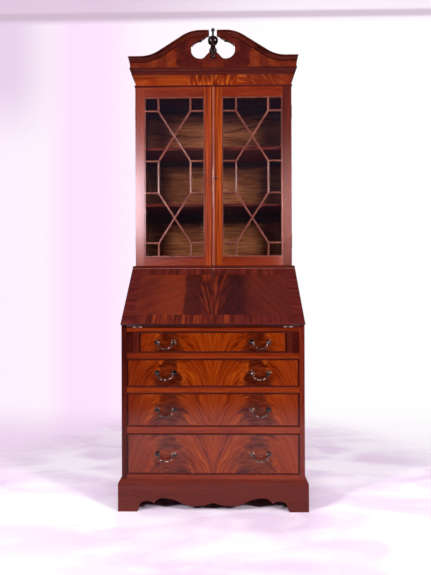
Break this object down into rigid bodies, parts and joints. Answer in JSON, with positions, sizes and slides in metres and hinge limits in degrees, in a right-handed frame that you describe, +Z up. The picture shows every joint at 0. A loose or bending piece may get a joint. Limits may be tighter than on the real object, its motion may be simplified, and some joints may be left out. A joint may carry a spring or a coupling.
{
  "type": "secretary desk",
  "caption": "Slant-front secretary desk with long graduated drawers, a drop-down writing fall, a glazed two-door bookcase above and a swan-neck pediment with an urn finial.",
  "frame": {"origin": "on the floor, in the middle of the footprint that includes the drawer pulls", "axes": "+Z up; -Y is the front, where the user stands; +X to the user's right"},
  "size_m": [0.784, 0.521, 2.113],
  "materials": {
    "mahogany": "polished red-brown mahogany",
    "flame_mahogany": "polished flame-figured veneer",
    "secondary_wood": "plain waxed secondary wood",
    "antique_brass": "aged polished brass",
    "glass": "clear"
  },
  "bodies": {
    "case": {"plinth_front": "mahogany", "plinth_sides": "mahogany", "plinth_back_and_blocks": "secondary_wood", "desk_sides": "mahogany", "desk_bottom": "secondary_wood", "desk_back": "secondary_wood", "desk_top": "mahogany", "writing_bed": "mahogany", "front_frame": "mahogany", "drawer_runners": "secondary_wood", "waist_moulding": "mahogany", "fall_hinge_fixed_leaves": "antique_brass", "gallery_case": "mahogany", "bookcase_sides": "mahogany", "bookcase_top_and_bottom": "mahogany", "bookcase_back": "secondary_wood", "bookcase_shelves": "mahogany", "frieze": "flame_mahogany", "bookcase_mouldings": "mahogany", "pediment_board": "mahogany", "pediment_moulding": "mahogany", "finial": "mahogany", "door_hinge_case_leaves": "antique_brass"},
    "fall": {"fall_panel": "flame_mahogany", "fall_hardware": "antique_brass"},
    "fall_bolt": {"fall_bolt": "antique_brass"},
    "fall_key": {"fall_key": "antique_brass"},
    "left_door": {"left_door_frame": "mahogany", "left_door_glass": "glass", "left_door_bars": "mahogany", "left_door_hinge_leaves": "antique_brass"},
    "right_door": {"right_door_frame": "mahogany", "right_door_glass": "glass", "right_door_bars": "mahogany", "right_door_hardware": "antique_brass"},
    "door_bolt": {"door_bolt": "antique_brass"},
    "door_key": {"door_key": "antique_brass"},
    "loper_left": {"loper_left": "mahogany"},
    "loper_right": {"loper_right": "mahogany"},
    "gallery_drawer": {"gallery_drawer": "flame_mahogany"},
    "drawer_1": {"drawer_1_front": "flame_mahogany", "drawer_1_box": "secondary_wood", "drawer_1_pull_posts": "antique_brass"},
    "drawer_1_bail_left": {"drawer_1_bail_left": "antique_brass"},
    "drawer_1_bail_right": {"drawer_1_bail_right": "antique_brass"},
    "drawer_2": {"drawer_2_front": "flame_mahogany", "drawer_2_box": "secondary_wood", "drawer_2_pull_posts": "antique_brass"},
    "drawer_2_bail_left": {"drawer_2_bail_left": "antique_brass"},
    "drawer_2_bail_right": {"drawer_2_bail_right": "antique_brass"},
    "drawer_3": {"drawer_3_front": "flame_mahogany", "drawer_3_box": "secondary_wood", "drawer_3_pull_posts": "antique_brass"},
    "drawer_3_bail_left": {"drawer_3_bail_left": "antique_brass"},
    "drawer_3_bail_right": {"drawer_3_bail_right": "antique_brass"},
    "drawer_4": {"drawer_4_front": "flame_mahogany", "drawer_4_box": "secondary_wood", "drawer_4_pull_posts": "antique_brass"},
    "drawer_4_bail_left": {"drawer_4_bail_left": "antique_brass"},
    "drawer_4_bail_right": {"drawer_4_bail_right": "antique_brass"}
  },
  "joints": [
    {"name": "fall_drop", "type": "hinge", "parent": "case", "child": "fall", "pos_m": [0, -0.2429, 0.75], "axis": [1, 0, 0], "range_deg": [0, 136]},
    {"name": "left_door_swing", "type": "hinge", "parent": "case", "child": "left_door", "pos_m": [-0.3635, 0.021, 1.425], "axis": [0, 0, -1], "range_deg": [0, 110]},
    {"name": "right_door_swing", "type": "hinge", "parent": "case", "child": "right_door", "pos_m": [0.3635, 0.021, 1.425], "axis": [0, 0, 1], "range_deg": [0, 110]},
    {"name": "loper_left_slide", "type": "slide", "parent": "case", "child": "loper_left", "axis": [0, -1, 0], "range_m": [0, 0.25]},
    {"name": "loper_right_slide", "type": "slide", "parent": "case", "child": "loper_right", "axis": [0, -1, 0], "range_m": [0, 0.25]},
    {"name": "gallery_drawer_slide", "type": "slide", "parent": "case", "child": "gallery_drawer", "axis": [0, -1, 0], "range_m": [0, 0.13]},
    {"name": "door_key_turn", "type": "hinge", "parent": "right_door", "child": "door_key", "pos_m": [0.012, 0.0005, 1.417], "axis": [0, -1, 0], "range_deg": [0, 90]},
    {"name": "door_bolt_throw", "type": "slide", "parent": "right_door", "child": "door_bolt", "axis": [-1, 0, 0], "range_m": [0, 0.007]},
    {"name": "fall_key_turn", "type": "hinge", "parent": "fall", "child": "fall_key", "pos_m": [0, -0.04603, 0.96792], "axis": [0, -0.6947, 0.7193], "range_deg": [0, 90]},
    {"name": "fall_bolt_throw", "type": "slide", "parent": "fall", "child": "fall_bolt", "axis": [0, 0.7193, 0.6947], "range_m": [0, 0.007]},
    {"name": "drawer_1_slide", "type": "slide", "parent": "case", "child": "drawer_1", "axis": [0, -1, 0], "range_m": [0, 0.26]},
    {"name": "drawer_1_bail_left_lift", "type": "hinge", "parent": "drawer_1", "child": "drawer_1_bail_left", "pos_m": [-0.193, -0.2555, 0.6865], "axis": [-1, 0, 0], "range_deg": [0, 90]},
    {"name": "drawer_1_bail_right_lift", "type": "hinge", "parent": "drawer_1", "child": "drawer_1_bail_right", "pos_m": [0.193, -0.2555, 0.6865], "axis": [-1, 0, 0], "range_deg": [0, 90]},
    {"name": "drawer_2_slide", "type": "slide", "parent": "case", "child": "drawer_2", "axis": [0, -1, 0], "range_m": [0, 0.32]},
    {"name": "drawer_2_bail_left_lift", "type": "hinge", "parent": "drawer_2", "child": "drawer_2_bail_left", "pos_m": [-0.193, -0.2555, 0.561], "axis": [-1, 0, 0], "range_deg": [0, 90]},
    {"name": "drawer_2_bail_right_lift", "type": "hinge", "parent": "drawer_2", "child": "drawer_2_bail_right", "pos_m": [0.193, -0.2555, 0.561], "axis": [-1, 0, 0], "range_deg": [0, 90]},
    {"name": "drawer_3_slide", "type": "slide", "parent": "case", "child": "drawer_3", "axis": [0, -1, 0], "range_m": [0, 0.32]},
    {"name": "drawer_3_bail_left_lift", "type": "hinge", "parent": "drawer_3", "child": "drawer_3_bail_left", "pos_m": [-0.193, -0.2555, 0.4105], "axis": [-1, 0, 0], "range_deg": [0, 90]},
    {"name": "drawer_3_bail_right_lift", "type": "hinge", "parent": "drawer_3", "child": "drawer_3_bail_right", "pos_m": [0.193, -0.2555, 0.4105], "axis": [-1, 0, 0], "range_deg": [0, 90]},
    {"name": "drawer_4_slide", "type": "slide", "parent": "case", "child": "drawer_4", "axis": [0, -1, 0], "range_m": [0, 0.32]},
    {"name": "drawer_4_bail_left_lift", "type": "hinge", "parent": "drawer_4", "child": "drawer_4_bail_left", "pos_m": [-0.193, -0.2555, 0.23], "axis": [-1, 0, 0], "range_deg": [0, 90]},
    {"name": "drawer_4_bail_right_lift", "type": "hinge", "parent": "drawer_4", "child": "drawer_4_bail_right", "pos_m": [0.193, -0.2555, 0.23], "axis": [-1, 0, 0], "range_deg": [0, 90]}
  ],
  "couplings": [
    {"joint": "door_bolt_throw", "follows": "door_key_turn", "m_per_rad": 0.00445},
    {"joint": "fall_bolt_throw", "follows": "fall_key_turn", "m_per_rad": 0.00445}
  ]
}
